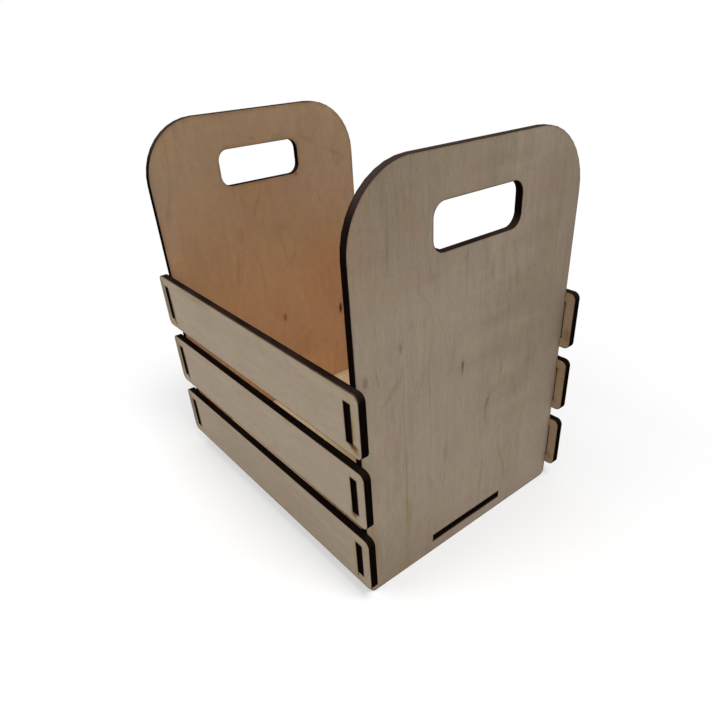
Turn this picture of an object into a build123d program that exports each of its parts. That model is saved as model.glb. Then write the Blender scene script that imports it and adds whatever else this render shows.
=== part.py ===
from build123d import *
import os

# A garden basket that slots together from laser-cut plywood. Two tall end panels stand
# across the basket. Three slats on each side hook over tabs on the panels' upright edges,
# and the floor's tenons pass through a low slot in each panel.
# Millimetres. X runs along the slats, Y across the basket and Z up. The origin is on the
# ground, under the middle of the basket.

# The plywood sheet, the gap left around a tab or tenon in its slot, and how far the end of
# a tab or tenon stays below the face that it comes out at
sheet_thickness = 6.0
slot_slip = 0.25
tab_recess = 1.2

# The room inside the basket
inside_length = 269.0
panel_width = 216.0

# The slats
slats_per_side = 3
slat_height = 49.7
slat_gap = 11.9
slat_overhang = 9.5
slat_corner_radius = 5.5
slot_end_margin = 9.3
lowest_slat_rise = 14.7

# The end panels
panel_rise_above_slats = 129.4
panel_shoulder_radius = 50.0
panel_foot_radius = 5.5

# The hand hole in each end panel, and the wood above it
hand_hole_width = 83.0
hand_hole_height = 31.5
hand_hole_radius = 9.5
hand_hole_cover = 30.3

# The floor
floor_rise = 10.6
floor_tenon_width = 80.5
floor_side_gap = 0.5

# A rounded corner takes at most this share of the shorter side that it is cut from
corner_limit_share = 0.45

# Worked out from the sizes above
slot_width = sheet_thickness + 2 * slot_slip
slot_height = slat_height - 2 * slot_end_margin
tab_height = slot_height - 2 * slot_slip
tab_reach = sheet_thickness - tab_recess
slat_pitch = slat_height + slat_gap
slat_centres = [
    lowest_slat_rise + slat_height / 2 + row * slat_pitch for row in range(slats_per_side)
]
slats_top = slat_centres[-1] + slat_height / 2
slat_length = inside_length + 2 * sheet_thickness + 2 * slat_overhang
slat_middle = (panel_width + sheet_thickness) / 2
panel_height = slats_top + panel_rise_above_slats
panel_middle = (inside_length + sheet_thickness) / 2
hand_hole_middle = panel_height - hand_hole_cover - hand_hole_height / 2
floor_middle = floor_rise + sheet_thickness / 2


def corner(radius, *sides):
    """A corner's radius, limited by the sides that it joins."""
    return min(radius, corner_limit_share * min(sides))


def rounded_rectangle(width, height, radius):
    return RectangleRounded(width, height, corner(radius, width, height))


def end_panel(middle):
    """A tall plate that stands across the basket, with its middle at that place along X."""
    outline = Pos(0, panel_height / 2) * Rectangle(panel_width, panel_height)
    shoulders = outline.vertices().group_by(Axis.Y)[-1]
    outline = fillet(shoulders, corner(panel_shoulder_radius, panel_width, panel_rise_above_slats))
    feet = outline.vertices().group_by(Axis.Y)[0]
    outline = fillet(feet, corner(panel_foot_radius, panel_width, lowest_slat_rise))
    for height in slat_centres:
        outline += Pos(0, height) * Rectangle(panel_width + 2 * tab_reach, tab_height)
    hand_hole = rounded_rectangle(hand_hole_width, hand_hole_height, hand_hole_radius)
    outline -= Pos(0, hand_hole_middle) * hand_hole
    outline -= Pos(0, floor_middle) * Rectangle(floor_tenon_width + 2 * slot_slip, slot_width)
    return Pos(middle - sheet_thickness / 2) * extrude(Plane.YZ * outline, amount=sheet_thickness)


def slat(middle, height):
    """A long plate on one side of the basket, with its middle at that place along Y."""
    outline = rounded_rectangle(slat_length, slat_height, slat_corner_radius)
    for slot_place in (-panel_middle, panel_middle):
        outline -= Pos(slot_place) * Rectangle(slot_width, slot_height)
    plate = extrude(Plane.XZ * outline, amount=sheet_thickness)
    return Pos(0, middle + sheet_thickness / 2, height) * plate


def floor_panel():
    """The plate that carries the load, with a tenon at each end."""
    outline = Rectangle(inside_length, panel_width - 2 * floor_side_gap)
    outline += Rectangle(inside_length + 2 * tab_reach, floor_tenon_width)
    return Pos(0, 0, floor_rise) * extrude(outline, amount=sheet_thickness)


def slat_levels():
    """The names of the slats' levels, from the lowest to the highest."""
    between = [f"middle_{row}" for row in range(1, slats_per_side - 1)]
    if len(between) == 1:
        between = ["middle"]
    return (["bottom"] + between + ["top"])[:slats_per_side]


pieces = {
    "end_panel_left": end_panel(-panel_middle),
    "end_panel_right": end_panel(panel_middle),
    "floor_panel": floor_panel(),
}
for side, middle in (("front", -slat_middle), ("back", slat_middle)):
    for level, height in zip(slat_levels(), slat_centres):
        pieces[f"{side}_slat_{level}"] = slat(middle, height)

os.makedirs("parts", exist_ok=True)
for name, piece in pieces.items():
    piece.label = name
    export_step(piece, f"parts/{name}.step")

print("slats", slat_length, "by", slat_height, "and panels", panel_width, "by", panel_height)
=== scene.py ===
import bpy
import math
from mathutils import Euler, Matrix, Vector


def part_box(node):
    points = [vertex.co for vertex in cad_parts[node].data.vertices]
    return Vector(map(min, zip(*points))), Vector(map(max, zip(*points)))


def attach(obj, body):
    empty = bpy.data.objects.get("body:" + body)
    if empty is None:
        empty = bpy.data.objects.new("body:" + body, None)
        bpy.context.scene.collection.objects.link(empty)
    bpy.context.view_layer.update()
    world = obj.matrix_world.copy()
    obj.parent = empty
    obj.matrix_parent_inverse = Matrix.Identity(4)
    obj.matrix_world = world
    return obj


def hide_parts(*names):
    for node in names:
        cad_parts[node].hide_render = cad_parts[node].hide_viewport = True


# A garden basket that slots together from nine plates of laser-cut birch plywood.
# Metres, in the frame of the part: X along the slats, Y across the basket, Z up.
# Each plate is first drawn flat, with u to the right, v up and w towards its outer face.

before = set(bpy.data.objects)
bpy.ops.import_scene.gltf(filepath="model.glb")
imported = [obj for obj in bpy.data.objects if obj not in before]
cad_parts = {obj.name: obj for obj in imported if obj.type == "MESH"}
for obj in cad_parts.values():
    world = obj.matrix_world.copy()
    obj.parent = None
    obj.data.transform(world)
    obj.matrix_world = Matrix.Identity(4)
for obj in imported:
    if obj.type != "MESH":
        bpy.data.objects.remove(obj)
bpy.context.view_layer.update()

# Sizes read from the frame. The slats' inner faces lie against the panels' upright edges.
slat_low, slat_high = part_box("front_slat_middle")
panel_low, panel_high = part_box("end_panel_right")
floor_low, floor_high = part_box("floor_panel")
slat_length = slat_high.x - slat_low.x
slat_height = slat_high.z - slat_low.z
sheet_thickness = slat_high.y - slat_low.y
panel_height = panel_high.z
panel_width = -2 * slat_high.y
panel_middle = (panel_low.x + panel_high.x) / 2
tab_reach = panel_high.y - panel_width / 2
inside_length = 2 * panel_low.x
floor_width = floor_high.y - floor_low.y
tenon_reach = floor_high.x - panel_low.x
slat_levels = ("bottom", "middle", "top")
slat_middles = [
    (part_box(f"front_slat_{level}")[0].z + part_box(f"front_slat_{level}")[1].z) / 2
    for level in slat_levels
]

# Sizes that the boxes don't give
slot_slip = 0.00025
slot_end_margin = 0.0093
slat_corner_radius = 0.0055
panel_shoulder_radius = 0.050
panel_foot_radius = 0.0055
hand_hole_width = 0.083
hand_hole_height = 0.0315
hand_hole_radius = 0.0095
hand_hole_cover = 0.0303
floor_tenon_width = 0.0805

slot_width = sheet_thickness + 2 * slot_slip
slot_height = slat_height - 2 * slot_end_margin
tab_height = slot_height - 2 * slot_slip
hand_hole_middle = panel_height - hand_hole_cover - hand_hole_height / 2
floor_middle = (floor_low.z + floor_high.z) / 2

# The laser-cut edge: its plies, the steps that draw each one, and how deep the beam bit at
# each glue line and arris
plies = 5
steps_a_ply = 6
edge_relief = 0.00008

# The steps that draw a rounded corner, and how near to each other points are merged
arc_steps = 10
weld_distance = 0.000002

quarter_turn = math.pi / 2


class Number:
    """A socket that carries a number, so that sums of sockets read as sums."""

    def __init__(self, nodes, socket):
        self.nodes = nodes
        self.socket = socket

    def __add__(self, other):
        return self.nodes.math("ADD", self, other)

    def __sub__(self, other):
        return self.nodes.math("SUBTRACT", self, other)

    def __rsub__(self, other):
        return self.nodes.math("SUBTRACT", other, self)

    def __mul__(self, other):
        return self.nodes.math("MULTIPLY", self, other)

    def __truediv__(self, other):
        return self.nodes.math("DIVIDE", self, other)

    def __abs__(self):
        return self.nodes.math("ABSOLUTE", self)

    __radd__ = __add__
    __rmul__ = __mul__


class Nodes:
    """A node tree under construction."""

    def __init__(self, tree):
        self.tree = tree

    def add(self, kind, inputs=None, **settings):
        """Adds a node. Its settings come first, because some of its inputs depend on them."""
        node = self.tree.nodes.new(kind)
        for name, value in settings.items():
            setattr(node, name, value)
        for name, value in (inputs or {}).items():
            self.feed(node.inputs[name], value)
        return node

    def feed(self, socket, value):
        """Links a socket, or a node's first one, to the input, or sets a plain value."""
        if isinstance(value, Number):
            value = value.socket
        if isinstance(value, bpy.types.Node):
            value = value.outputs[0]
        if isinstance(value, bpy.types.NodeSocket):
            self.tree.links.new(value, socket)
        else:
            socket.default_value = value

    def group(self, tree, inputs):
        """Adds a shader group, and gives its outputs as numbers by their names."""
        node = self.add("ShaderNodeGroup", inputs, node_tree=tree)
        return {socket.name: Number(self, socket) for socket in node.outputs}

    def math(self, operation, *values):
        node = self.tree.nodes.new("ShaderNodeMath")
        node.operation = operation
        for socket, value in zip(node.inputs, values):
            self.feed(socket, value)
        return Number(self, node.outputs[0])

    def vector_math(self, operation, *values):
        node = self.tree.nodes.new("ShaderNodeVectorMath")
        node.operation = operation
        for socket, value in zip(node.inputs, values):
            self.feed(socket, value)
        return node

    def parts(self, vector):
        node = self.add("ShaderNodeSeparateXYZ", {"Vector": vector})
        return [Number(self, socket) for socket in node.outputs]

    def vector(self, x=0.0, y=0.0, z=0.0):
        return self.add("ShaderNodeCombineXYZ", {"X": x, "Y": y, "Z": z}).outputs[0]

    def least(self, first, *others):
        for other in others:
            first = self.math("MINIMUM", first, other)
        return first

    def most(self, first, *others):
        for other in others:
            first = self.math("MAXIMUM", first, other)
        return first

    def eased(self, value, start, end, at_start=0.0, at_end=1.0):
        """Goes from one level to the other while the value goes from start to end."""
        spread = {"From Min": start, "From Max": end, "To Min": at_start, "To Max": at_end}
        node = self.add(
            "ShaderNodeMapRange", {"Value": value} | spread, interpolation_type="SMOOTHSTEP"
        )
        return Number(self, node.outputs[0])

    def noise(self, place, detail=2.0, roughness=0.5):
        """Soft noise that is 0 on average."""
        inputs = {"Vector": place, "Scale": 1.0, "Detail": detail, "Roughness": roughness}
        node = self.add("ShaderNodeTexNoise", inputs, noise_dimensions="3D")
        return Number(self, node.outputs[0]) - 0.5

    def grain(self, along, across, seed, length, width, detail=2.0, roughness=0.5):
        """Noise in streaks of that length and width."""
        return self.noise(self.vector(along / length, across / width, seed), detail, roughness)

    def mixed(self, share, first, second, blend="MIX"):
        """The first colour, with that share of the second."""
        node = self.add("ShaderNodeMix", data_type="RGBA", blend_type=blend)

        # Its inputs for colours have these numbers, and its output for a colour is the third
        for index, value in ((0, share), (6, first), (7, second)):
            if isinstance(value, tuple):
                value = (*value, 1.0)
            self.feed(node.inputs[index], value)
        return node.outputs[2]


def new_tree(kind, name, inputs, outputs):
    """A node group with the named inputs, name to (kind, value), and outputs, name to kind."""
    tree = bpy.data.node_groups.new(name, kind)
    for label, (socket_kind, value) in inputs.items():
        socket = tree.interface.new_socket(
            label, in_out="INPUT", socket_type="NodeSocket" + socket_kind
        )
        if value is not None:
            socket.default_value = value
    for label, socket_kind in outputs.items():
        tree.interface.new_socket(
            label, in_out="OUTPUT", socket_type="NodeSocket" + socket_kind
        )
    nodes = Nodes(tree)
    given = nodes.add("NodeGroupInput").outputs
    result = nodes.add("NodeGroupOutput").inputs
    return nodes, given, result


def geometry_tree(name, inputs):
    """A geometry tree with the named inputs and the plate as its output."""
    nodes, given, result = new_tree("GeometryNodeTree", name, inputs, {"Plate": "Geometry"})
    return nodes, given, result["Plate"]


# What every plate's tree asks for
plate_inputs = {
    "Sheet Thickness": ("Float", sheet_thickness),
    "Plies": ("Int", plies),
    "Steps a Ply": ("Int", steps_a_ply),
    "Edge Relief": ("Float", edge_relief),
    "Board": ("Float", 0.0),
    "Turn": ("Rotation", None),
    "Place": ("Vector", None),
    "Faces": ("Material", None),
    "Cut Edges": ("Material", None),
}


def plywood_plate_tree():
    """Turns closed outlines, with their holes the other way round, into a plate of plywood."""
    inputs = {"Outline": ("Geometry", None)} | plate_inputs
    nodes, given, result = geometry_tree("plywood_plate", inputs)
    thickness = Number(nodes, given["Sheet Thickness"])
    relief = Number(nodes, given["Edge Relief"])
    curve = {"Curve": given["Outline"]}
    outline = nodes.add("GeometryNodeSetCurveNormal", curve, mode="Z_UP")

    # The section of the cut edge, from the outer face to the inner one
    steps = Number(nodes, given["Plies"]) * given["Steps a Ply"]
    line = nodes.add(
        "GeometryNodeCurvePrimitiveLine",
        {"Start": nodes.vector(y=thickness / 2), "End": nodes.vector(y=thickness / -2)},
    )
    line = nodes.add("GeometryNodeResampleCurve", {"Curve": line, "Count": steps + 1})
    step = Number(nodes, nodes.add("GeometryNodeInputIndex").outputs[0])
    step_in_ply = nodes.math("MODULO", step, given["Steps a Ply"])
    at_glue_line = nodes.math("LESS_THAN", step_in_ply, 0.5)
    section = nodes.add(
        "GeometryNodeSetPosition",
        {"Geometry": line, "Offset": nodes.vector(x=at_glue_line * relief * -1)},
    )
    wall = nodes.add("GeometryNodeCurveToMesh", {"Curve": outline, "Profile Curve": section})

    # The two faces, inside the rims of the cut edge
    normal = nodes.add("GeometryNodeInputNormal").outputs["Normal"]
    inwards = nodes.add(
        "ShaderNodeVectorMath", {0: normal, "Scale": relief * -1}, operation="SCALE"
    )
    rim = nodes.add("GeometryNodeSetPosition", {"Geometry": outline, "Offset": inwards})
    sheet = nodes.add("GeometryNodeFillCurve", {"Curve": rim}, mode="TRIANGLES")
    outer, inner = [
        nodes.add(
            "GeometryNodeTransform",
            {"Geometry": sheet, "Translation": nodes.vector(z=thickness / side)},
        )
        for side in (2, -2)
    ]
    inner = nodes.add("GeometryNodeFlipFaces", {"Mesh": inner})

    def with_attribute(mesh, name, kind, domain, value):
        stored = nodes.add(
            "GeometryNodeStoreNamedAttribute",
            {"Geometry": mesh},
            data_type=kind,
            domain=domain,
        )
        stored.inputs["Name"].default_value = name
        nodes.feed(stored.inputs["Value"], value)
        return stored

    wall = nodes.add("GeometryNodeFlipFaces", {"Mesh": wall})
    wall = with_attribute(wall, "cut", "FLOAT", "FACE", 1.0)
    joined = nodes.add("GeometryNodeJoinGeometry")
    for mesh in (wall, outer, inner):
        nodes.feed(joined.inputs[0], mesh)
    welded = nodes.add(
        "GeometryNodeMergeByDistance", {"Geometry": joined, "Distance": weld_distance}
    )

    # The materials read a point's place on the flat plate, and the number of its board
    position = nodes.add("GeometryNodeInputPosition")
    plate = with_attribute(welded, "sheet_place", "FLOAT_VECTOR", "POINT", position)
    plate = with_attribute(plate, "board", "FLOAT", "POINT", given["Board"])
    plate = nodes.add(
        "GeometryNodeTransform",
        {"Geometry": plate, "Rotation": given["Turn"], "Translation": given["Place"]},
    )
    plate = nodes.add("GeometryNodeRealizeInstances", {"Geometry": plate})
    plate = nodes.add(
        "GeometryNodeSetMaterial", {"Geometry": plate, "Material": given["Faces"]}
    )
    is_cut = nodes.add("GeometryNodeInputNamedAttribute", {"Name": "cut"}, data_type="FLOAT")
    plate = nodes.add(
        "GeometryNodeSetMaterial",
        {
            "Geometry": plate,
            "Selection": nodes.math("GREATER_THAN", Number(nodes, is_cut.outputs[0]), 0.5),
            "Material": given["Cut Edges"],
        },
    )
    nodes.feed(result, plate)
    return nodes.tree


def plate_from(nodes, outline, plate_tree, given, result):
    """Ends a tree with the plate group, which takes the outline and the inputs they share."""
    group = nodes.add("GeometryNodeGroup", {"Outline": outline}, node_tree=plate_tree)
    for name in plate_inputs:
        nodes.feed(group.inputs[name], given[name])
    nodes.feed(result, group)
    return nodes.tree


def drawn_plate_tree(plate_tree):
    """A plate from outlines that the host object holds, as an end panel's or the floor's."""
    inputs = {"Outline": ("Geometry", None)} | plate_inputs
    nodes, given, result = geometry_tree("drawn_plate", inputs)
    return plate_from(nodes, given["Outline"], plate_tree, given, result)


def slat_tree(plate_tree):
    """A slat: a rounded rectangle with an upright slot near each end."""
    inputs = plate_inputs | {
        "Length": ("Float", slat_length),
        "Height": ("Float", slat_height),
        "Corner Radius": ("Float", slat_corner_radius),
        "Corner Steps": ("Int", arc_steps),
        "Slot Width": ("Float", slot_width),
        "Slot Height": ("Float", slot_height),
        "Slot Distance": ("Float", 2 * panel_middle),
    }
    nodes, given, result = geometry_tree("slat", inputs)
    blank = nodes.add(
        "GeometryNodeCurvePrimitiveQuadrilateral",
        {"Width": given["Length"], "Height": given["Height"]},
    )
    blank = nodes.add(
        "GeometryNodeFilletCurve",
        {
            "Curve": blank,
            "Count": given["Corner Steps"],
            "Radius": given["Corner Radius"],
        },
        mode="POLY",
    )
    slot = nodes.add(
        "GeometryNodeCurvePrimitiveQuadrilateral",
        {"Width": given["Slot Width"], "Height": given["Slot Height"]},
    )
    slot = nodes.add("GeometryNodeReverseCurve", {"Curve": slot})
    outline = nodes.add("GeometryNodeJoinGeometry")
    nodes.feed(outline.inputs[0], blank)
    for side in (-1, 1):
        place = nodes.vector(x=Number(nodes, given["Slot Distance"]) * (side / 2))
        cut = nodes.add("GeometryNodeTransform", {"Geometry": slot, "Translation": place})
        nodes.feed(outline.inputs[0], cut)
    return plate_from(nodes, outline, plate_tree, given, result)


def arc(middle_u, middle_v, radius, start):
    """A quarter circle to the left, from that angle in quarter turns."""
    points = []
    for step in range(arc_steps + 1):
        angle = quarter_turn * (start + step / arc_steps)
        across, up = math.cos(angle), math.sin(angle)
        points.append((middle_u + radius * across, middle_v + radius * up))
    return points


def box_outline(width, height, radius=0.0, middle_v=0.0):
    """A closed outline to the left round a box, with its corners rounded."""
    if radius == 0:
        half = (width / 2, height / 2)
        corners = ((1, -1), (1, 1), (-1, 1), (-1, -1))
        return [(u * half[0], middle_v + v * half[1]) for u, v in corners]
    points = []
    for start, (u, v) in enumerate(((1, 1), (-1, 1), (-1, -1), (1, -1))):
        middle_u = u * (width / 2 - radius)
        points += arc(middle_u, middle_v + v * (height / 2 - radius), radius, start)
    return points


def mirrored(points):
    """The points of a right half, with its mirror image behind them."""
    return points + [(-u, v) for u, v in reversed(points)]


def panel_outlines():
    """An end panel's outline and holes, with v from the panel's middle."""
    edge = panel_width / 2
    base = -panel_height / 2
    foot, shoulder = panel_foot_radius, panel_shoulder_radius
    right = arc(edge - foot, base + foot, foot, 3)
    for middle in slat_middles:
        low, high = base + middle - tab_height / 2, base + middle + tab_height / 2
        right += [(edge, low), (edge + tab_reach, low), (edge + tab_reach, high), (edge, high)]
    right += arc(edge - shoulder, -base - shoulder, shoulder, 0)
    hand_hole = box_outline(
        hand_hole_width, hand_hole_height, hand_hole_radius, base + hand_hole_middle
    )
    floor_slot = box_outline(
        floor_tenon_width + 2 * slot_slip, slot_width, middle_v=base + floor_middle
    )
    return [mirrored(right), hand_hole[::-1], floor_slot[::-1]]


def floor_outlines():
    """The floor's outline, with a tenon at each end."""
    end, edge, tenon = inside_length / 2, floor_width / 2, floor_tenon_width / 2
    right = [
        (end, -edge),
        (end, -tenon),
        (end + tenon_reach, -tenon),
        (end + tenon_reach, tenon),
        (end, tenon),
        (end, edge),
    ]
    return [mirrored(right)]


def add_object(name, data):
    """A new object in the scene, at the origin."""
    thing = bpy.data.objects.new(name, data)
    bpy.context.scene.collection.objects.link(thing)
    return thing


def outline_object(outlines):
    """The outlines as closed curves of one object."""
    curve = bpy.data.curves.new("outline", "CURVE")
    curve.dimensions = "3D"
    for points in outlines:
        spline = curve.splines.new("POLY")
        spline.points.add(len(points) - 1)
        for spot, (u, v) in zip(spline.points, points):
            spot.co = (u, v, 0.0, 1.0)
        spline.use_cyclic_u = True
    return add_object("outline", curve)


# Faces that meet at a smaller angle than this are shaded as one
smooth_angle = math.radians(30)


def make_plate(name, host, tree, board, faces, place, turn=(0.0, 0.0, 0.0)):
    """Runs the tree on the host with these inputs, and keeps the result as a plain mesh."""
    values = {"Board": float(board), "Faces": faces, "Cut Edges": charred_edge}
    values |= {"Place": place, "Turn": turn}
    modifier = host.modifiers.new("plate", "NODES")
    modifier.node_group = tree
    for item in tree.interface.items_tree:
        if item.item_type == "SOCKET" and item.in_out == "INPUT" and item.name in values:
            modifier[item.identifier] = values[item.name]
    depsgraph = bpy.context.evaluated_depsgraph_get()
    mesh = bpy.data.meshes.new_from_object(
        host.evaluated_get(depsgraph), preserve_all_data_layers=True, depsgraph=depsgraph
    )
    bpy.data.objects.remove(host)
    mesh.name = name

    # Set Material leaves an empty slot before its own
    mesh.materials.pop(index=0)
    mesh.polygons.foreach_set("use_smooth", [True] * len(mesh.polygons))
    mesh.set_sharp_from_angle(angle=smooth_angle)
    return add_object(name + "_ply", mesh)


# Materials. Inside them, lengths are in millimetres, from the middle of a plate's sheet.
mm = 1000

# The plates' board numbers, by which the materials tell them apart. Only a top slat's number
# leaves 2 when it is divided by the slats of a side. The near panel is the right one, and the
# far panel the left one.
bottom_slat, middle_slat, top_slat = 0, 1, 2
back_bottom_slat, back_middle_slat, back_top_slat = 3, 4, 5
far_panel, near_panel, floor_board = 7, 9, 10
slats_a_side = 3

# A board's outer face and its inner one, by the sign of w
outside, inside = 1, -1


def new_material(name):
    """A material, with its nodes and its shader."""
    material = bpy.data.materials.new(name)
    material.use_nodes = True
    return material, Nodes(material.node_tree), material.node_tree.nodes["Principled BSDF"]


def add_bump(nodes, shader, height, strength, depth):
    """Bumps a shader's surface by the height, with the depth in metres."""
    bump = nodes.add("ShaderNodeBump", {"Height": height, "Strength": strength})
    bump.inputs["Distance"].default_value = depth
    nodes.feed(shader.inputs["Normal"], bump.outputs[0])


def shader_group(name, inputs, outputs):
    """A group of numbers, from the inputs' names and first values and the outputs' names."""
    sockets = {label: ("Float", value) for label, value in inputs.items()}
    nodes, given, result = new_tree(
        "ShaderNodeTree", name, sockets, {label: "Float" for label in outputs}
    )
    return nodes, [Number(nodes, given[label]) for label in inputs], result


def surface_place(nodes):
    """A point's u, v and w on its plate, and the plate's board number."""
    place = nodes.add("ShaderNodeAttribute", attribute_name="sheet_place")
    scaled = nodes.vector_math("SCALE", place.outputs["Vector"])
    scaled.inputs["Scale"].default_value = mm
    board = nodes.add("ShaderNodeAttribute", attribute_name="board")
    return [*nodes.parts(scaled.outputs[0]), Number(nodes, board.outputs["Fac"])]


def rounded_box_group():
    """How far a point lies outside a rounded box, or below 0 how deep inside it."""
    inputs = {"U": 0.0, "V": 0.0, "Half Width": 1.0, "Half Height": 1.0, "Radius": 0.0}
    nodes, given, result = shader_group("rounded_box_distance", inputs, ["Distance"])
    u, v, half_width, half_height, radius = given
    side = abs(u) - half_width + radius
    top = abs(v) - half_height + radius
    beyond = nodes.math(
        "SQRT",
        nodes.math("POWER", nodes.most(side, 0.0), 2.0)
        + nodes.math("POWER", nodes.most(top, 0.0), 2.0),
    )
    within = nodes.least(nodes.most(side, top), 0.0)
    nodes.feed(result["Distance"], beyond + within - radius)
    return nodes.tree


def spot_group():
    """A soft, slightly ragged oval mark, 1 at its middle."""
    inputs = dict.fromkeys(("U", "V", "Wander", "Raggedness", "At U", "At V", "Lean"), 0.0)
    inputs |= {"Half Width": 1.0, "Half Height": 1.0}
    nodes, given, result = shader_group("spot", inputs, ["Mark"])
    u, v, wander, raggedness, at_u, at_v, lean, half_width, half_height = given
    u = u - at_u
    v = v - at_v
    turn_cosine, turn_sine = nodes.math("COSINE", lean), nodes.math("SINE", lean)
    across = (u * turn_cosine - v * turn_sine) / half_width + wander
    along = (u * turn_sine + v * turn_cosine) / half_height
    reach = nodes.math("SQRT", across * across + along * along) + raggedness
    nodes.feed(result["Mark"], nodes.eased(reach, 1.0, 0.15))
    return nodes.tree


# Each board takes its veneer from another region of the noise, this far from the next
board_seed_step = 7.3


def veneer_group():
    """The figure of birch veneer: its shade, from dark 0 to light 1, its warmth and height."""
    inputs = {"Along": 0.0, "Across": 0.0, "Board": 0.0, "Streaks": 1.0, "Mottle": 1.0}
    outputs = ["Shade", "Warmth", "Height"]
    nodes, given, result = shader_group("birch_veneer", inputs, outputs)
    along, straight, board, streaked, mottled = given
    seed = board * board_seed_step
    across = straight + nodes.grain(along, straight, seed, 120, 50, 1) * 9

    # Streaks with the grain, plain in some places and fine in others
    cloud = nodes.grain(along, across, seed + 1, 75, 38, 2)
    bands = nodes.grain(along, across, seed + 2, 130, 6, 2)
    streaks = nodes.grain(along, across, seed + 3, 17, 1.5, 2, 0.6)
    fibres = nodes.grain(along, across, seed + 4, 6, 0.6, 2, 0.65)
    lively = nodes.eased(nodes.grain(along, across, seed + 10, 70, 30, 1), -0.12, 0.16, 0.5)
    lines = (bands * 0.46 + streaks * 0.6) * lively + fibres * 0.55
    hair = nodes.eased(abs(nodes.grain(along, across, seed + 13, 70, 3.6, 1)), 0.06, 0.0)
    hair = hair * nodes.eased(nodes.grain(along, across, seed + 14, 45, 9, 1), 0.0, 0.2)

    # Mottle that keeps no direction: soft curl, blotches and the tooth of the sanded face
    curl = nodes.grain(along, across, seed + 5, 9, 7, 2)
    blotches = nodes.grain(along, across, seed + 11, 26, 19, 1)
    tooth = nodes.grain(along, across, seed + 12, 1.5, 1.2, 2, 0.6)
    clouds = curl * 0.25 + blotches * 0.1 + tooth * 0.5

    # Growth lines: soft arches, each with one sharper side
    bow = nodes.grain(along, straight, seed + 6, 130, 55, 1)
    ring = nodes.math("FRACT", across / 19 + bow * 5.5 + along / 240)
    ring_line = nodes.eased(ring, 0.55, 0.95) * nodes.eased(ring, 1.0, 0.95)
    ring_strength = nodes.eased(nodes.grain(along, across, seed + 7, 60, 25, 1), -0.02, 0.22)

    # Vessels: short dark dashes with the grain
    cells = nodes.add(
        "ShaderNodeTexVoronoi",
        {"Vector": nodes.vector(along / 3.6, across / 0.62, seed), "Scale": 1.0},
        voronoi_dimensions="3D",
    )
    vessel = nodes.eased(Number(nodes, cells.outputs["Distance"]), 0.34, 0.12)
    vessel = vessel * nodes.eased(nodes.grain(along, across, seed + 8, 30, 6, 1), -0.02, 0.16)

    shade = 0.52 + cloud * 0.36 + (lines - hair * 0.13) * streaked + clouds * mottled
    shade = shade - ring_line * ring_strength * 0.2 - vessel * streaked * 0.3
    warmth = 0.5 + nodes.grain(along, across, seed + 9, 26, 14, 2) * 2.6
    height = fibres * 0.6 + streaks * 0.3 + tooth * 0.3 - vessel * 0.8
    nodes.feed(result["Shade"], shade)
    nodes.feed(result["Warmth"], warmth)
    nodes.feed(result["Height"], height)
    return nodes.tree


# How far the toasted rim reaches from a cut, and how far on the far panel, which the
# photograph shows with wider rims, in the shader's millimetres
toast_reach = 1.8
far_toast_reach = 4.2


def scorch_group():
    """What the laser's heat left on a face, by the distance to the nearest cut."""
    inputs = {"Distance": 0.0, "U": 0.0, "V": 0.0, "Board": 0.0, "Reach": toast_reach}
    nodes, given, result = shader_group("scorch", inputs, ["Char", "Toast", "Smoke"])
    distance, u, v, board, reach = given
    ragged = nodes.noise(nodes.vector(u / 1.3, v / 1.3, board), 2)
    patches = nodes.noise(nodes.vector(u / 13, v / 13, board + 20), 2)
    flares = nodes.noise(nodes.vector(u / 22, v / 22, board + 40), 1)
    char = nodes.eased(distance + ragged * 0.5, 0.62, 0.12)
    toast = nodes.eased(distance, reach, 0.2) * nodes.eased(patches, -0.35, 0.2)
    smoke = nodes.eased(distance, 6.5, 0.4) * nodes.eased(flares, -0.06, 0.22)
    nodes.feed(result["Char"], char)
    nodes.feed(result["Toast"], toast)
    nodes.feed(result["Smoke"], smoke)
    return nodes.tree


rounded_box = rounded_box_group()
spot = spot_group()
birch_veneer = veneer_group()
scorch = scorch_group()


def box_distance(nodes, u, v, width, height, radius=0.0, middle_u=0.0, middle_v=0.0):
    """The distance to a rounded box, whose sizes and middle are given in metres."""
    inputs = {
        "U": u - middle_u * mm,
        "V": v - middle_v * mm,
        "Half Width": width / 2 * mm,
        "Half Height": height / 2 * mm,
        "Radius": radius * mm,
    }
    return nodes.group(rounded_box, inputs)["Distance"]


# How much further the scorch reaches round a slat's slots, in the shader's millimetres
slot_scorch = 0.32


def slat_cuts(nodes, u, v):
    """The distance from a slat's face to its nearest cut."""
    outline = box_distance(nodes, u, v, slat_length, slat_height, slat_corner_radius)
    slot = box_distance(nodes, abs(u), v, slot_width, slot_height, middle_u=panel_middle)
    return nodes.least(abs(outline), abs(slot) - slot_scorch)


def panel_cuts(nodes, u, v):
    """The distance from an end panel's face to its nearest cut."""
    upper = nodes.math("GREATER_THAN", v, 0.0)
    radius = upper * (panel_shoulder_radius - panel_foot_radius) + panel_foot_radius
    outline = box_distance(nodes, u, v, panel_width, panel_height, radius)
    base = -panel_height / 2
    width_with_tabs = panel_width + 2 * tab_reach
    for middle in slat_middles:
        tab = box_distance(nodes, u, v, width_with_tabs, tab_height, middle_v=base + middle)
        outline = nodes.least(outline, tab)
    nearest = abs(outline)
    for width, height, radius, middle in (
        (hand_hole_width, hand_hole_height, hand_hole_radius, hand_hole_middle),
        (floor_tenon_width + 2 * slot_slip, slot_width, 0.0, floor_middle),
    ):
        hole = box_distance(nodes, u, v, width, height, radius, middle_v=base + middle)
        nearest = nodes.least(nearest, abs(hole))
    return nearest


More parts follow.
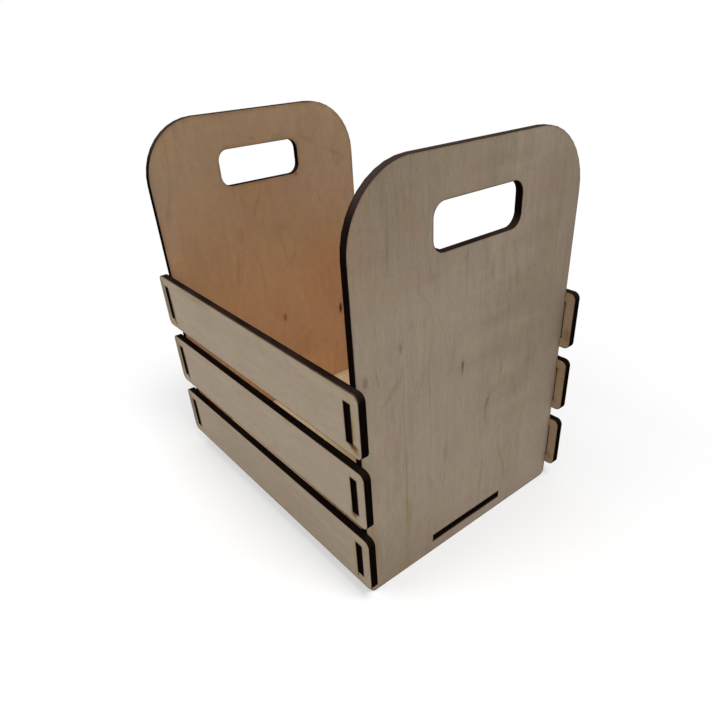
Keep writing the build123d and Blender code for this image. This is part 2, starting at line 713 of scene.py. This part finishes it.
def floor_cuts(nodes, u, v):
    """The distance from the floor's face to its nearest cut."""
    sheet = box_distance(nodes, u, v, inside_length, floor_width)
    tenons = box_distance(nodes, u, v, inside_length + 2 * tenon_reach, floor_tenon_width)
    return abs(nodes.least(sheet, tenons))


# Half widths: a narrower mark than the first has a finely ragged rim, and a wider one than
# the second has a smooth one
small_mark = 4.0
large_mark = 12.0


def on_one_board(nodes, board, number):
    """1 on the board of that number, else 0."""
    return nodes.math("COMPARE", board, float(number), 0.4)


def marked(nodes, marks, place_on_board, unevenness):
    """How strongly any of the marks shows at a point."""
    u, v, w, board = place_on_board
    wander, fine, broad = unevenness
    total = None
    for place in sorted({mark[:2] for mark in marks}):
        there = None
        for mark_board, face, *numbers in marks:
            if (mark_board, face) == place:
                names = ("At U", "At V", "Half Width", "Half Height", "Lean")
                inputs = dict(zip(names, numbers)) | {"U": u, "V": v, "Wander": wander}
                inputs["Lean"] = math.radians(inputs["Lean"])
                inputs["Raggedness"] = fine if inputs["Half Width"] < small_mark else broad
                if inputs["Half Width"] > large_mark:
                    inputs["Raggedness"] = 0.0
                one = nodes.group(spot, inputs)["Mark"]
                there = one if there is None else nodes.most(there, one)
        mark_board, face = place
        there = there * on_one_board(nodes, board, mark_board)
        there = there * nodes.math("GREATER_THAN", w * face, 0.0)
        total = there if total is None else total + there
    return total


def wood_material(name, grain_upright, cuts, tones, spots, smoke_share, reach=toast_reach):
    """Birch veneer with scorched rims. Tones are pairs, a dark one and a light one."""
    outer_tones, inner_tones, inner_foot_bounce_tones = tones
    material, nodes, shader = new_material(name)
    u, v, w, board = surface_place(nodes)
    along, across = (v, u) if grain_upright else (u, v)
    outer = nodes.math("GREATER_THAN", w, 0.0)
    figure = {
        "Along": along,
        "Across": across,
        "Board": board + outer * outer_veneer_step,
        "Streaks": outer * (1 - inner_streaks) + inner_streaks,
        "Mottle": outer * (1 - inner_mottle) + inner_mottle,
    }
    veneer = nodes.group(birch_veneer, figure)
    heat = {
        "Distance": cuts(nodes, u, v),
        "U": u,
        "V": v,
        "Board": board + outer * outer_scorch_step,
        "Reach": reach,
    }
    burnt = nodes.group(scorch, heat)

    # The wood's colour. Inner faces are warmer, partly the veneer's own tone and partly painted
    # warm light bounced about inside the basket, and an end panel's inner face is painted
    # lighter and warmer towards its foot, as light bounced up from the floor
    outer_wood = nodes.mixed(veneer["Shade"], *outer_tones)
    inner_wood = nodes.mixed(veneer["Shade"], *inner_tones)
    inner_foot_bounce_wood = nodes.mixed(veneer["Shade"], *inner_foot_bounce_tones)
    inner_wood = nodes.mixed(nodes.eased(v - u * 0.1, 125, -50), inner_wood, inner_foot_bounce_wood)
    colour = nodes.mixed(outer, inner_wood, outer_wood)
    rosy = nodes.eased(veneer["Warmth"], 0.45, 0.9) * rosy_share
    colour = nodes.mixed(rosy, colour, rosy_cast, "MULTIPLY")
    yellowed = nodes.eased(veneer["Warmth"], 0.55, 0.1) * yellow_share
    colour = nodes.mixed(yellowed, colour, yellow_cast, "MULTIPLY")

    # The marks, then what the laser left
    wander = nodes.noise(nodes.vector(v / 14, u / 70, board), 1) * 0.8
    fine = nodes.noise(nodes.vector(u / 2.2, v / 3.6, board)) * 0.8
    broad = nodes.noise(nodes.vector(u / 12, v / 22, board)) * 0.8
    for cast, share, marks in spots:
        mark = marked(nodes, marks, (u, v, w, board), (wander, fine, broad))
        colour = nodes.mixed(mark * share, colour, cast, "MULTIPLY")
    colour = nodes.mixed(burnt["Smoke"] * smoke_share, colour, smoke_cast, "MULTIPLY")
    colour = nodes.mixed(burnt["Toast"] * toast_share, colour, toast_cast, "MULTIPLY")
    colour = nodes.mixed(burnt["Char"], colour, char_brown)
    nodes.feed(shader.inputs["Base Color"], colour)
    rough = wood_roughness - veneer["Height"] * 0.25 + burnt["Char"] * 0.2
    nodes.feed(shader.inputs["Roughness"], rough)
    shader.inputs["Specular IOR Level"].default_value = wood_gloss
    add_bump(nodes, shader, veneer["Height"], strength=0.35, depth=wood_bump_depth)
    return material


def charred_edge_material():
    """The laser-cut edge: charred plies with brown rims, scored through the thickness."""
    material, nodes, shader = new_material("charred_edge")
    u, v, w, board = surface_place(nodes)
    half = sheet_thickness / 2 * mm
    ply_thickness = sheet_thickness / plies * mm

    # The beam's scoring, the plies and their glue lines, and the two rims
    scoring = nodes.noise(nodes.vector(u / 0.45, v / 0.45, w / 5 + board * 9), 2, 0.6)
    patches = nodes.noise(nodes.vector(u / 9, v / 9, w / 2.5 + board * 5), 2)
    ply = (w + half) / ply_thickness + patches * 0.12
    in_ply = nodes.math("FRACT", ply)
    crossed = nodes.math("GREATER_THAN", nodes.math("FRACT", ply / 2), 0.5)
    glue_line = nodes.most(nodes.eased(in_ply, 0.16, 0.0), nodes.eased(in_ply, 0.84, 1.0))
    rim = nodes.eased(abs(w) + scoring * 0.5 + patches * 0.9, half - 1.3, half + 0.2)

    # Painted light where an edge faces up, strongest on the top slats and the panels, and
    # painted weaker, as shade, on the lower slats under the slat above and inside the slats'
    # slots
    facing = nodes.parts(nodes.add("ShaderNodeNewGeometry").outputs["Normal"])
    row = nodes.math("MODULO", board, float(slats_a_side))
    on_top_slat = nodes.math("GREATER_THAN", row, top_slat - 0.5)
    on_slat = nodes.math("LESS_THAN", board, back_top_slat + 0.5)
    open_to_light = nodes.most(on_top_slat, 1 - on_slat)
    past_slot = slot_height * 0.55 * mm
    in_slot = nodes.math("LESS_THAN", abs(v), past_slot) * on_slat
    painted_top_light = nodes.most(facing[2], 0.0) * (open_to_light * 0.66 + 0.34) * (1 - in_slot * 0.85)
    top_light_patches = nodes.noise(nodes.vector(u / 40, v / 40, board), 2)
    ash = 0.75 + scoring * 1.2 + patches * 0.9 - abs(w) / half * 0.6
    colour = nodes.mixed(ash, deep_char, pale_char)
    colour = nodes.mixed(crossed * 0.45, colour, brown_char)
    colour = nodes.mixed(painted_top_light * (ash * 0.45 + top_light_patches * 1.6 + 0.45), colour, top_lit_char)
    colour = nodes.mixed(glue_line * 0.6, colour, deep_char)
    colour = nodes.mixed(rim * (painted_top_light * 0.5 + 0.3), colour, rim_brown)
    # A painted highlight: a lighter brown along the top slat's upper edge, towards its outer
    # arris
    lit_arris = nodes.eased(w + scoring * 0.5 + patches * 0.8, half - 1.4, half)
    colour = nodes.mixed(lit_arris * painted_top_light * on_top_slat * 0.75, colour, lit_arris_brown)

    # Where the panels' tops and shoulders face up, they are painted a paler brown as light
    # falling on them, but not the rim of the hand hole
    past_hole = hand_hole_width * 0.65 * mm
    beside_hole = nodes.math("GREATER_THAN", abs(u), past_hole)
    at_shoulder = nodes.math("GREATER_THAN", v, (panel_height / 2 - panel_shoulder_radius) * mm)
    over_hole = nodes.math("GREATER_THAN", v, (panel_height / 2 - hand_hole_cover) * mm)
    crest = nodes.most(beside_hole * at_shoulder, over_hole) * (1 - on_slat)
    crest = crest * nodes.eased(facing[2], 0.35, 0.8)
    colour = nodes.mixed(crest * (ash * 0.35 + 0.5), colour, crest_lit_brown)

    # The ends of the far panel's tabs are painted a lighter brown too, as light falling on them
    on_tab_end = nodes.math("GREATER_THAN", abs(u), (panel_width + tab_reach) / 2 * mm)
    on_far_panel = on_one_board(nodes, board, far_panel)
    colour = nodes.mixed(on_tab_end * on_far_panel * (ash * 0.5 + 0.2), colour, tab_end_lit_brown)
    nodes.feed(shader.inputs["Base Color"], colour)
    nodes.feed(shader.inputs["Roughness"], char_roughness + scoring * 0.2)
    shader.inputs["Specular IOR Level"].default_value = char_gloss
    height = scoring * 0.8 + patches * 0.3 - glue_line * 0.4 - crossed * 0.15
    add_bump(nodes, shader, height, strength=0.6, depth=char_bump_depth)
    return material


# How bright the gloss is, how rough the surface is on average, and how deep the bump is in
# metres, on the wood and on its charred edges
wood_gloss, wood_roughness, wood_bump_depth = 0.12, 0.62, 0.0001
char_gloss, char_roughness, char_bump_depth = 0.0, 0.85, 0.0002

# How strongly the casts of the wood and of its rims show
rosy_share = 0.7
yellow_share = 0.55
toast_share = 0.5

# How strongly an inner face shows streaks and mottle, when an outer face shows 1
inner_streaks = 0.45
inner_mottle = 1.25

# How far an outer face's veneer and scorch lie from the inner one's, in board numbers
outer_veneer_step = 0.37
outer_scorch_step = 3

# Colours as linear red, green and blue. A cast multiplies the colour under it.
panel_outer = ((0.207, 0.165, 0.124), (0.341, 0.279, 0.214))
panel_inner_top = ((0.222, 0.144, 0.085), (0.404, 0.272, 0.164))
# An end panel's inner foot: lighter and warmer than its top, painted light bounced up from the
# floor
panel_inner_foot_bounce = ((0.354, 0.192, 0.097), (0.621, 0.350, 0.181))
slat_outer = ((0.235, 0.187, 0.137), (0.354, 0.286, 0.214))
slat_inner = ((0.280, 0.196, 0.127), (0.446, 0.314, 0.209))
# The floor's top is painted far lighter than its underside and the other plywood faces, as the
# light that falls into the basket onto it, and it bounces more of that light onto the panels'
# feet
floor_top_lightened = ((0.520, 0.393, 0.253), (0.736, 0.559, 0.361))
floor_under = ((0.258, 0.174, 0.107), (0.384, 0.272, 0.177))
rosy_cast = (1.0, 0.94, 0.94)
yellow_cast = (1.0, 0.98, 0.88)
smoke_cast = (0.93, 0.86, 0.62)
toast_cast = (0.55, 0.43, 0.31)
char_brown = (0.022, 0.012, 0.007)
deep_char = (0.0011, 0.0008, 0.0008)
pale_char = (0.0044, 0.0032, 0.0031)
brown_char = (0.0062, 0.0035, 0.0023)
# The paler char painted where an edge faces up, as light falling on it
top_lit_char = (0.0290, 0.0180, 0.0135)
rim_brown = (0.021, 0.0115, 0.0068)
# The painted highlight on the top slat's upper edge
lit_arris_brown = (0.120, 0.074, 0.052)
# Painted light on the panels' upward tops and shoulders
crest_lit_brown = (0.055, 0.039, 0.032)
# Painted light on the far panel's tab ends
tab_end_lit_brown = (0.036, 0.018, 0.010)

# Marks: board, face, u, v, half width, half height and lean, in the shader's millimetres and
# in degrees
panel_soft_knots = [
    (near_panel, outside, -11.4, 7.2, 1.9, 7.5, 3),
    (far_panel, inside, -3.4, -48.2, 2.8, 6.4, 6),
]
panel_faint_knots = [
    (near_panel, outside, -70.7, 43.1, 1.9, 4.6, 0),
    (near_panel, outside, -100.1, 29.6, 2.7, 5.6, 0),
    (near_panel, outside, -90.7, 28.4, 0.8, 8, -6),
]
panel_knots = [
    (far_panel, inside, -77.6, -59.6, 3.4, 9.6, 0),
    (far_panel, outside, -34, 61, 1.6, 4.6, -4),
    (far_panel, outside, 52, -22, 1.5, 5.4, 3),
    (far_panel, outside, 12, -96, 1.2, 3.6, 0),
]
panel_greys = [
    (near_panel, outside, 18.3, -36, 3.4, 11, 15),
    (far_panel, outside, -58, -70, 3, 12, -8),
]
panel_stains = [
    (near_panel, outside, -100.1, 30.1, 4.5, 9, 0),
    (near_panel, outside, -70.9, 43.9, 4, 10, 0),
    (near_panel, outside, -11.4, 7.2, 3, 14, 0),
    (near_panel, outside, -27.5, -62, 3.6, 15, 4),
    (near_panel, outside, 16, 73, 2.2, 14, -2),
    (near_panel, outside, 35.5, 58, 2, 12, -2),
    (near_panel, outside, -10.2, 76, 1.8, 28, -3),
    (near_panel, outside, 76.6, 150, 2.2, 7, 0),
    (far_panel, inside, -2.5, -47.9, 6, 11, 8),
    (far_panel, inside, 32.7, 50.3, 6, 8, 0),
    (far_panel, inside, 11, 74, 3, 24, -28),
    (far_panel, inside, 42, 14, 3, 34, -11),
    (far_panel, inside, -55.8, 124.8, 2.4, 15, 66),
    (far_panel, inside, -85, 109, 2.4, 24, 62),
    (far_panel, inside, 6, 134, 3, 8, 70),
    (far_panel, outside, 52, -22, 4, 14, 0),
    (far_panel, outside, -34, 61, 4, 12, 0),
]
panel_streaks = [
    (near_panel, outside, -69, -26, 0.9, 38, 0),
    (near_panel, outside, -68, -66, 1.7, 48, 1),
    (near_panel, outside, -29.6, -90, 1, 14, 11),
    (near_panel, outside, -44.5, -8, 1, 64, -2),
    (near_panel, outside, -79, 13, 3.4, 19, 43),
    (near_panel, outside, 16, -49.5, 4.5, 9, 6),
    (near_panel, outside, 15, -108, 2.4, 34, 3),
    (near_panel, outside, 42, -110, 2.8, 36, -16),
]
panel_yellow = [
    (near_panel, outside, 94, 134, 3.6, 15, -12),
    (near_panel, outside, 15, -147, 9, 4, 0),
    (near_panel, outside, -102, -116, 6, 30, 0),
    (near_panel, outside, -67, -100, 5, 34, 0),
]
panel_warmth = [
    (near_panel, outside, -60, 124, 9, 36, -26),
    (near_panel, outside, -77, 82, 9, 30, 66),
    (near_panel, outside, -100, 110, 26, 66, -8),
    (near_panel, outside, -104, -112, 12, 80, 0),
    (far_panel, inside, 8, 92, 60, 36, 0),
    (far_panel, inside, -60, -5, 50, 60, 0),
]
# Painted light: the near panel lighter along its edge by the front slats and at its top, and
# the far panel's inner face lighter low down, as light bounced up from the floor
panel_painted_light = [
    (near_panel, outside, -98, -50, 28, 105, 0),
    (near_panel, outside, -20, 152, 44, 34, 0),
    (far_panel, inside, -60, -115, 70, 80, 0),
]
# Painted shade: the near panel darker towards its middle and its upper back corner, as light
# falling off there
panel_painted_dimming = [
    (near_panel, outside, 24, 20, 22, 50, 0),
    (near_panel, outside, 84, 128, 40, 48, 0),
]
panel_cool = [
    (far_panel, inside, 112, 78, 34, 95, 0),
]
panel_flares = [
    (far_panel, inside, -54.9, 158.5, 7, 2.6, 0),
    (far_panel, inside, -37.5, 95.5, 2.6, 2.4, 0),
]
panel_shadows = [
    (near_panel, outside, 110, 40, 150, 190, 0),
    (near_panel, outside, -50, 165, 150, 125, 0),
]
panel_foot_shadows = [
    (near_panel, outside, -70, -175, 110, 90, 0),
]
slat_flares = [
    (top_slat, outside, 142.2, -16.5, 7, 3.2, 0),
    (middle_slat, outside, 135.9, -16.2, 3.8, 4.6, 8),
    (top_slat, outside, -134, -17.5, 1.6, 4.6, -38),
    (middle_slat, outside, -135, -17, 1.8, 3.8, -30),
    (bottom_slat, outside, 134, -17.8, 1.7, 2.9, 0),
]
slat_halo = [
    (top_slat, outside, 143.4, -17.2, 5.2, 10, -60),
    (top_slat, outside, 141.4, -4, 2, 15, 0),
    (middle_slat, outside, 134.8, -16.8, 6.4, 7, 0),
    (top_slat, outside, -134, -18, 4, 7, -38),
    (middle_slat, outside, -134, -17.6, 4, 6, -30),
]
# Darker and greyer at the slats' ends and slots by the far panel
slat_end_darkening = [
    (top_slat, outside, -147, 0, 9.5, 40, 0),
    (middle_slat, outside, -147, 0, 9.5, 40, 0),
    (bottom_slat, outside, -147, 0, 8.5, 40, 0),
    (top_slat, outside, -134.5, -1, 5.5, 24, 0),
    (middle_slat, outside, -134.5, -1, 5, 24, 0),
    (bottom_slat, outside, -134.5, -1, 4.5, 22, 0),
]
slat_toast = [
    (back_top_slat, inside, -142, 13, 2, 3.4, 0),
    (back_top_slat, inside, -146, -12.5, 5, 9, 0),
    (back_middle_slat, inside, -142, 14.5, 2.4, 3.4, 0),
    (back_middle_slat, inside, -142, -15.5, 3, 6, 0),
    (back_bottom_slat, inside, -144, -16, 3.4, 7, 0),
]
slat_yellow = [
    (top_slat, outside, 143, -2, 3.6, 17, 0),
    (top_slat, outside, 143, -20, 4.5, 5.5, 0),
    (top_slat, outside, -143, 0, 7, 30, 0),
    (middle_slat, outside, -143, 0, 7, 30, 0),
    (bottom_slat, outside, -143, 0, 7, 30, 0),
    (top_slat, outside, -132.5, -4, 3.4, 22, 0),
    (top_slat, outside, -137, -20, 9, 5, 0),
    (middle_slat, outside, -133, -6, 3, 18, 0),
    (bottom_slat, outside, 133, -8, 4, 16, 0),
    (bottom_slat, outside, 136, -20.5, 9, 5, 0),
    (bottom_slat, outside, -133, -10, 4, 12, 0),
    (top_slat, outside, -70, 21, 30, 4, 0),
]
slat_knots = [
    (middle_slat, outside, -31.6, 15.2, 1.8, 1.2, 0),
    (back_top_slat, outside, 62, -9, 3.4, 1.5, 4),
    (back_bottom_slat, outside, -48, 11, 2.6, 1.4, -3),
]
# Painted shade: the bottom slat's outer face darker, most in its middle
slat_painted_shade = [
    (bottom_slat, outside, 20, -14, 260, 60, 0),
]
# Painted shade: the floor darker along its end by the far panel, where the two meet
floor_painted_shade = [
    (floor_board, outside, -136, 0, 14, 220, 0),
]

# The casts of the marks
knot_cast = (0.16, 0.08, 0.04)
soft_knot_cast = (0.58, 0.47, 0.42)
faint_knot_cast = (0.74, 0.67, 0.66)
grey_cast = (0.68, 0.67, 0.66)
# For the panels' stains, and for the painted shade on the floor
stain_and_shade_cast = (0.88, 0.80, 0.74)
streak_cast = (0.84, 0.76, 0.66)
flare_cast = (0.60, 0.46, 0.30)
halo_cast = (0.76, 0.60, 0.36)
# Darker and greyer at the slats' ends by the far panel
end_darkening_cast = (0.60, 0.60, 0.56)
yellow_stain_cast = (0.88, 0.82, 0.58)
# Painted shade
slat_painted_shade_cast = (0.88, 0.87, 0.85)
warm_cast = (1.03, 0.95, 0.86)
# Painted light
painted_light_cast = (1.08, 1.07, 1.04)
# Painted shade
painted_dimming_cast = (0.94, 0.94, 0.94)
cool_cast = (0.88, 0.94, 1.03)
shadow_cast = (0.795, 0.77, 0.735)
foot_shadow_cast = (0.90, 0.85, 0.80)

# Spots: cast, share and marks. The slats' flares are laid twice, for a darker middle.
panel_spots = [
    (shadow_cast, 1.0, panel_shadows),
    (foot_shadow_cast, 1.0, panel_foot_shadows),
    (painted_light_cast, 1.0, panel_painted_light),
    (painted_dimming_cast, 1.0, panel_painted_dimming),
    (cool_cast, 1.0, panel_cool),
    (warm_cast, 0.8, panel_warmth),
    (yellow_stain_cast, 0.7, panel_yellow),
    (stain_and_shade_cast, 0.7, panel_stains),
    (streak_cast, 0.7, panel_streaks),
    (grey_cast, 0.9, panel_greys),
    (flare_cast, 0.9, panel_flares),
    (faint_knot_cast, 1.0, panel_faint_knots),
    (soft_knot_cast, 1.0, panel_soft_knots),
    (knot_cast, 1.0, panel_knots),
]
slat_spots = [
    (yellow_stain_cast, 0.75, slat_yellow),
    (end_darkening_cast, 1.0, slat_end_darkening),
    (halo_cast, 1.0, slat_halo),
    (flare_cast, 1.0, slat_flares),
    (flare_cast, 1.0, slat_flares),
    (flare_cast, 0.55, slat_toast),
    (slat_painted_shade_cast, 1.0, slat_painted_shade),
    (soft_knot_cast, 1.0, slat_knots),
]
floor_spots = [
    (stain_and_shade_cast, 1.0, floor_painted_shade),
]


def spots_on(board, spots):
    """The spots with only one board's marks."""
    kept = []
    for cast, share, marks in spots:
        marks = [mark for mark in marks if mark[0] == board]
        if marks:
            kept.append((cast, share, marks))
    return kept


panel_tones = (panel_outer, panel_inner_top, panel_inner_foot_bounce)
slat_tones = (slat_outer, slat_inner, slat_inner)
floor_tones = (floor_top_lightened, floor_under, floor_under)
panel_faces = {}
for side, board, reach in (
    ("right", near_panel, toast_reach),
    ("left", far_panel, far_toast_reach),
):
    panel_faces[side] = wood_material(
        f"{side}_panel_faces",
        grain_upright=True,
        cuts=panel_cuts,
        tones=panel_tones,
        spots=spots_on(board, panel_spots),
        smoke_share=0.2,
        reach=reach,
    )
slat_faces = wood_material(
    "slat_faces",
    grain_upright=False,
    cuts=slat_cuts,
    tones=slat_tones,
    spots=slat_spots,
    smoke_share=0.8,
)
floor_faces = wood_material(
    "floor_faces",
    grain_upright=False,
    cuts=floor_cuts,
    tones=floor_tones,
    spots=floor_spots,
    smoke_share=0.4,
)
charred_edge = charred_edge_material()

plate_tree = plywood_plate_tree()
drawn_plate = drawn_plate_tree(plate_tree)
slat = slat_tree(plate_tree)
made = []

for side, turned, boards in (
    ("front", 0.0, (bottom_slat, middle_slat, top_slat)),
    ("back", math.pi, (back_bottom_slat, back_middle_slat, back_top_slat)),
):
    for level, board in zip(slat_levels, boards):
        node = f"{side}_slat_{level}"
        low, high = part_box(node)
        turn = (quarter_turn, 0.0, turned)
        host = add_object("slat", bpy.data.meshes.new("slat"))
        piece = make_plate(node, host, slat, board, slat_faces, (low + high) / 2, turn)
        made.append((piece, node, "slat_ply"))

for side, end, board in (("right", 1, near_panel), ("left", -1, far_panel)):
    node = f"end_panel_{side}"
    place = (end * panel_middle, 0.0, panel_height / 2)
    turn = (quarter_turn, 0.0, end * quarter_turn)
    host = outline_object(panel_outlines())
    piece = make_plate(node, host, drawn_plate, board, panel_faces[side], place, turn)
    made.append((piece, node, "panel_ply"))

node = "floor_panel"
place = (0.0, 0.0, floor_middle)
host = outline_object(floor_outlines())
piece = make_plate(node, host, drawn_plate, floor_board, floor_faces, place)
made.append((piece, node, "floor_ply"))

for piece, node, slot in made:
    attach(piece, "root")
    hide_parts(node)

# The camera, fitted to the outlines in the photograph. Its focal length and the place of
# its axis are in pixels of the photograph, which is square.
photo_width = 720
photo_focal_length = 599.4
photo_axis_x = 382.8
photo_axis_y = 398.6
camera_place = (0.3977, -0.2932, 0.3785)
camera_turn_degrees = (57.785, 2.368, 49.782)

camera = add_object("camera", bpy.data.cameras.new("camera"))
camera.location = camera_place
camera.rotation_euler = Euler([math.radians(angle) for angle in camera_turn_degrees])
camera.data.lens = camera.data.sensor_width * photo_focal_length / photo_width
camera.data.shift_x = (photo_width / 2 - photo_axis_x) / photo_width
camera.data.shift_y = (photo_axis_y - photo_width / 2) / photo_width
camera.data.clip_start = 0.01
bpy.context.scene.camera = camera


def seen_directly(nodes):
    """1 for the camera's rays and for those of clear reflections, else 0."""
    path = nodes.add("ShaderNodeLightPath").outputs
    rays = ("Is Camera Ray", "Is Glossy Ray", "Is Transmission Ray")
    return nodes.most(*[Number(nodes, path[ray]) for ray in rays])


# The ground is white to the camera, and a little darker to everything else. Its glow is its
# share of the backdrop's plain white near the basket, where it takes shadows, and the share
# grows to 1 between the two distances of its fade.
ground_size = 6.0
ground_white = (0.98, 0.98, 0.98)
ground_bounce = (0.80, 0.79, 0.77)
ground_fade = (0.2, 0.6)
ground_glow = 0.35
ground_roughness = 0.9
plain_white = (1.0, 1.0, 1.0, 1.0)
half = ground_size / 2
ground_mesh = bpy.data.meshes.new("ground")
ground_mesh.from_pydata(
    [(-half, -half, 0), (half, -half, 0), (half, half, 0), (-half, half, 0)], [], [(0, 1, 2, 3)]
)
ground = add_object("ground", ground_mesh)

pale_ground, nodes, shader = new_material("pale_ground")
direct = seen_directly(nodes)
nodes.feed(shader.inputs["Base Color"], nodes.mixed(direct, ground_bounce, ground_white))
shader.inputs["Roughness"].default_value = ground_roughness
shader.inputs["Specular IOR Level"].default_value = 0.0
place = nodes.add("ShaderNodeTexCoord").outputs["Object"]
distance = Number(nodes, nodes.vector_math("LENGTH", place).outputs["Value"])
fade = nodes.eased(distance, *ground_fade, ground_glow, 1.0) * direct
backdrop = nodes.add("ShaderNodeEmission", {"Color": plain_white, "Strength": 1.0})
mixed = {0: fade, 1: shader.outputs[0], 2: backdrop.outputs[0]}
ground_look = nodes.add("ShaderNodeMixShader", mixed)
output = pale_ground.node_tree.nodes["Material Output"]
nodes.feed(output.inputs["Surface"], ground_look.outputs[0])
ground_mesh.materials.append(pale_ground)

# A soft room, and two broad lamps that are aimed at the basket: place, size and power
room_light = 0.55
lamp_aim = Vector((0.0, 0.0, 0.12))
lamps = {
    "front_lamp": ((-0.7, -1.9, 1.5), 1.6, 24.0),
    "high_lamp": ((1.25, 0.1, 2.4), 1.2, 34.0),
}
world = bpy.data.worlds.new("soft_room")
world.use_nodes = True
nodes = Nodes(world.node_tree)
background = world.node_tree.nodes["Background"]
background.inputs["Color"].default_value = plain_white
seen = seen_directly(nodes)
nodes.feed(background.inputs["Strength"], seen * (1 - room_light) + room_light)
bpy.context.scene.world = world
for name, (place, size, power) in lamps.items():
    lamp = add_object(name, bpy.data.lights.new(name, "AREA"))
    lamp.data.shape = "DISK"
    lamp.data.size = size
    lamp.data.energy = power
    lamp.location = place
    lamp.rotation_euler = (lamp_aim - Vector(place)).to_track_quat("-Z", "Y").to_euler()
bpy.context.scene.view_settings.view_transform = "Standard"
